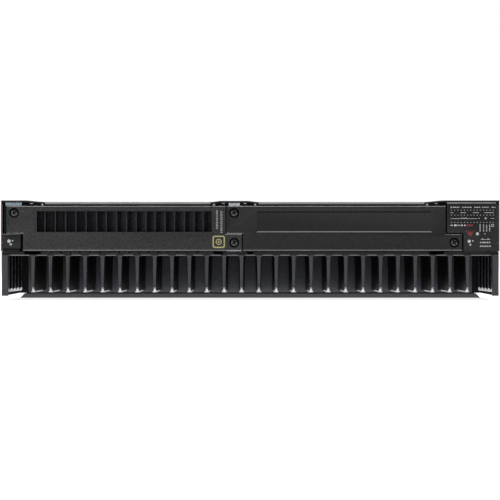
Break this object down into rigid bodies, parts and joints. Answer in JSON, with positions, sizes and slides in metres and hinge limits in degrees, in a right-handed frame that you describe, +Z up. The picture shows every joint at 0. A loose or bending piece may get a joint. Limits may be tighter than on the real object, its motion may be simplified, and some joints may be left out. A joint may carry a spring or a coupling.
{
  "type": "power amplifier",
  "caption": "Fanless black installation power amplifier with a cast finned heat sink, a plug-in supply, a blank bay cover and screw-terminal connectors.",
  "frame": {"origin": "centre of the body's underside, on the base pan's lower face, midway between the bay faces and the connector panel", "axes": "+X to the right when facing the supply bays, +Y from the bay faces (at -Y) to the connector panel (at +Y), +Z up"},
  "size_m": [0.44, 0.3456, 0.0881],
  "materials": {
    "cast_body": "fine textured powder coat on a casting",
    "pan_sheet": "fine textured powder coat",
    "painted_sheet": "fine textured powder coat",
    "cover_sheet": "fine textured powder coat",
    "panel_paint": "fine textured powder coat",
    "label_paint": "fine textured powder coat with pale printed marks",
    "face_paint": "fine textured powder coat",
    "zinc": "zinc plated",
    "bright_steel": "bright plated",
    "bare_aluminium": "milled",
    "black_anodised": "black anodised",
    "black_screw": "dark plated",
    "board": "green solder mask",
    "copper": "enamelled copper",
    "capacitor_sleeve": "shrink sleeve",
    "black_plastic": "moulded",
    "green_plastic": "moulded",
    "plug_plastic": "moulded",
    "knob_plastic": "soft satin",
    "lamp": "clear tinted light pipe"
  },
  "bodies": {
    "chassis": {"heatsink_rear_left": "cast_body", "heatsink_rear_right": "cast_body", "core_tray": "cast_body", "skirt_left": "cast_body", "skirt_right": "cast_body", "base_pan": "pan_sheet", "side_wall_left": "painted_sheet", "side_wall_right": "painted_sheet", "top_cover": "cover_sheet", "front_panel": "panel_paint", "corner_block_left": "label_paint", "label_block": "label_paint", "bay_post_left": "zinc", "bay_post_centre": "zinc", "bay_post_right": "zinc", "guide_plate": "zinc", "backplane": "board", "amplifier_board": "board", "heat_spreader": "bare_aluminium", "signal_board": "board", "light_pipes": "lamp", "ground_stud": "bright_steel", "network_jack_1": "bright_steel", "network_jack_2": "bright_steel", "input_header": "green_plastic", "output_header": "green_plastic", "power_header": "green_plastic", "output_module_1": "black_plastic", "output_inductor_1": "copper", "output_module_2": "black_plastic", "output_inductor_2": "copper", "output_module_3": "black_plastic", "output_inductor_3": "copper", "output_module_4": "black_plastic", "output_inductor_4": "copper", "bulk_capacitor_1": "capacitor_sleeve", "bulk_capacitor_2": "capacitor_sleeve"},
    "supply": {"supply_face": "face_paint", "supply_case": "zinc", "supply_lid": "zinc", "supply_heatsink": "black_anodised", "supply_board": "board", "supply_transformer": "copper", "supply_connector": "black_plastic"},
    "bay_cover": {"bay_cover": "face_paint"},
    "supply_screw_upper": {"supply_screw_upper": "black_screw"},
    "supply_screw_lower": {"supply_screw_lower": "black_screw"},
    "bay_screw_upper": {"bay_screw_upper": "black_screw"},
    "bay_screw_lower": {"bay_screw_lower": "black_screw"},
    "level_knob_1": {"level_knob_1": "knob_plastic"},
    "level_knob_2": {"level_knob_2": "knob_plastic"},
    "level_knob_3": {"level_knob_3": "knob_plastic"},
    "level_knob_4": {"level_knob_4": "knob_plastic"},
    "reset_button": {"reset_button": "black_plastic"},
    "input_plug_1": {"input_plug_1": "plug_plastic"},
    "input_plug_2": {"input_plug_2": "plug_plastic"},
    "output_plug_1": {"output_plug_1": "plug_plastic"},
    "output_plug_2": {"output_plug_2": "plug_plastic"},
    "power_plug_1": {"power_plug_1": "plug_plastic"}
  },
  "joints": [
    {"name": "supply_slide", "type": "slide", "parent": "chassis", "child": "supply", "axis": [0, -1, 0], "range_m": [0, 0.185]},
    {"name": "bay_cover_slide", "type": "slide", "parent": "chassis", "child": "bay_cover", "axis": [0, -1, 0], "range_m": [0, 0.12]},
    {"name": "supply_screw_upper_turn", "type": "hinge", "parent": "supply", "child": "supply_screw_upper", "pos_m": [-0.2084, -0.165, 0.0771], "axis": [0, -1, 0], "continuous": true},
    {"name": "supply_screw_lower_turn", "type": "hinge", "parent": "supply", "child": "supply_screw_lower", "pos_m": [-0.0141, -0.165, 0.0508], "axis": [0, -1, 0], "continuous": true},
    {"name": "bay_screw_upper_turn", "type": "hinge", "parent": "bay_cover", "child": "bay_screw_upper", "pos_m": [-0.0142, -0.165, 0.0771], "axis": [0, -1, 0], "continuous": true},
    {"name": "bay_screw_lower_turn", "type": "hinge", "parent": "bay_cover", "child": "bay_screw_lower", "pos_m": [0.1801, -0.165, 0.0508], "axis": [0, -1, 0], "continuous": true},
    {"name": "level_knob_1_turn", "type": "hinge", "parent": "chassis", "child": "level_knob_1", "pos_m": [-0.16, 0.17, 0.06], "axis": [0, 1, 0], "range_deg": [-150, 150]},
    {"name": "level_knob_2_turn", "type": "hinge", "parent": "chassis", "child": "level_knob_2", "pos_m": [-0.13, 0.17, 0.06], "axis": [0, 1, 0], "range_deg": [-150, 150]},
    {"name": "level_knob_3_turn", "type": "hinge", "parent": "chassis", "child": "level_knob_3", "pos_m": [-0.1, 0.17, 0.06], "axis": [0, 1, 0], "range_deg": [-150, 150]},
    {"name": "level_knob_4_turn", "type": "hinge", "parent": "chassis", "child": "level_knob_4", "pos_m": [-0.07, 0.17, 0.06], "axis": [0, 1, 0], "range_deg": [-150, 150]},
    {"name": "reset_button_press", "type": "slide", "parent": "chassis", "child": "reset_button", "axis": [0, -1, 0], "range_m": [0, 0.0025], "stiffness_N_per_m": 600, "springref_m": -0.0015},
    {"name": "input_plug_1_pull", "type": "slide", "parent": "chassis", "child": "input_plug_1", "axis": [0, 1, 0], "range_m": [0, 0.03]},
    {"name": "input_plug_2_pull", "type": "slide", "parent": "chassis", "child": "input_plug_2", "axis": [0, 1, 0], "range_m": [0, 0.03]},
    {"name": "output_plug_1_pull", "type": "slide", "parent": "chassis", "child": "output_plug_1", "axis": [0, 1, 0], "range_m": [0, 0.03]},
    {"name": "output_plug_2_pull", "type": "slide", "parent": "chassis", "child": "output_plug_2", "axis": [0, 1, 0], "range_m": [0, 0.03]},
    {"name": "power_plug_1_pull", "type": "slide", "parent": "chassis", "child": "power_plug_1", "axis": [0, 1, 0], "range_m": [0, 0.03]}
  ]
}
